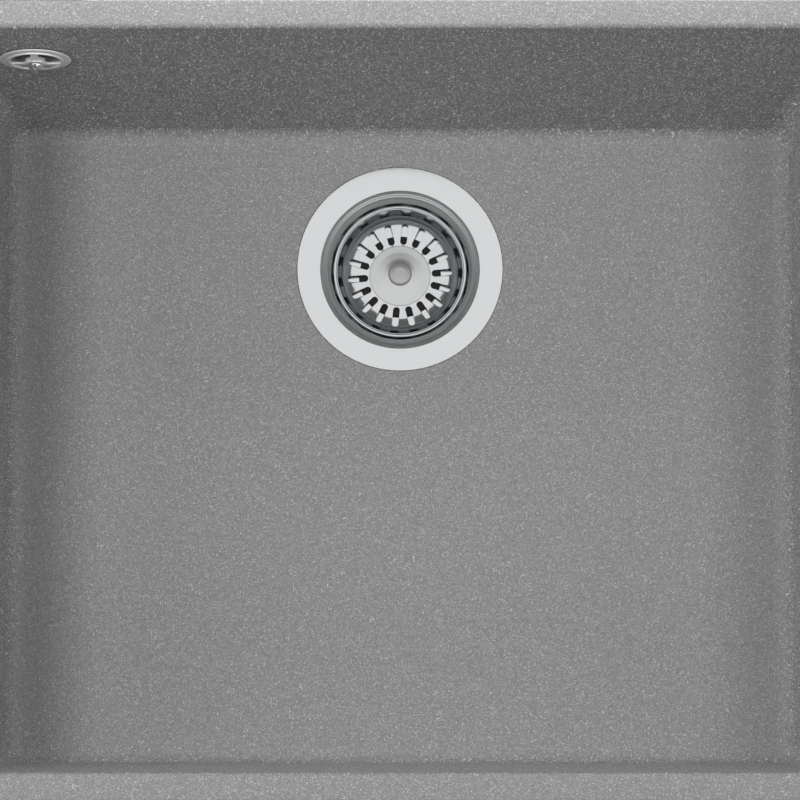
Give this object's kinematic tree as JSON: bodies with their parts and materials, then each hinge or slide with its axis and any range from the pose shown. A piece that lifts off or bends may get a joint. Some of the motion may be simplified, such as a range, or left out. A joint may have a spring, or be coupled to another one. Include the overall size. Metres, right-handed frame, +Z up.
{
  "type": "undermount kitchen sink",
  "caption": "Undermount kitchen sink: one moulded stone-composite bowl with a flat rim, a lift-out basket strainer towards the rear and an overflow piped to the waste.",
  "frame": {"origin": "centre of the bowl's opening, in the plane of the rim's top face, which meets the underside of the worktop", "axes": "+Z up, +X to the right and +Y to the rear wall, as seen by someone who stands at the sink"},
  "size_m": [0.5, 0.4432, 0.2965],
  "materials": {
    "stone_composite": "fine matt, mid grey with pale specks",
    "satin_steel": "satin",
    "bright_steel": "polished",
    "chrome": "polished",
    "rubber": "matt",
    "white_plastic": "moulded, satin",
    "grey_plastic": "moulded, satin",
    "black_plastic": "moulded, satin",
    "brass": "turned"
  },
  "bodies": {
    "sink": {"bowl": "stone_composite", "flange_seal": "rubber", "strainer_body": "satin_steel", "lower_seal": "rubber", "waste_body": "white_plastic", "clamp_nut": "brass", "clamp_screw": "satin_steel", "overflow_rosette": "chrome", "overflow_screw": "chrome", "overflow_seal": "rubber", "overflow_elbow": "black_plastic", "upper_hose_seal": "rubber", "upper_hose_nut": "grey_plastic", "overflow_hose": "grey_plastic", "lower_hose_seal": "rubber", "lower_hose_nut": "grey_plastic"},
    "plug": {"basket_knob": "satin_steel", "basket_stem": "satin_steel", "stopper_plate": "satin_steel", "stopper_seal": "rubber", "stem_clip": "white_plastic"},
    "basket": {"basket_cup": "bright_steel", "basket_cap": "satin_steel"}
  },
  "joints": [
    {"name": "basket_lift", "type": "slide", "parent": "sink", "child": "plug", "axis": [0, 0, 1], "range_m": [0, 0.27]},
    {"name": "basket_spin", "type": "hinge", "parent": "plug", "child": "basket", "pos_m": [0, 0.099, -0.229], "axis": [0, 0, 1], "continuous": true}
  ]
}
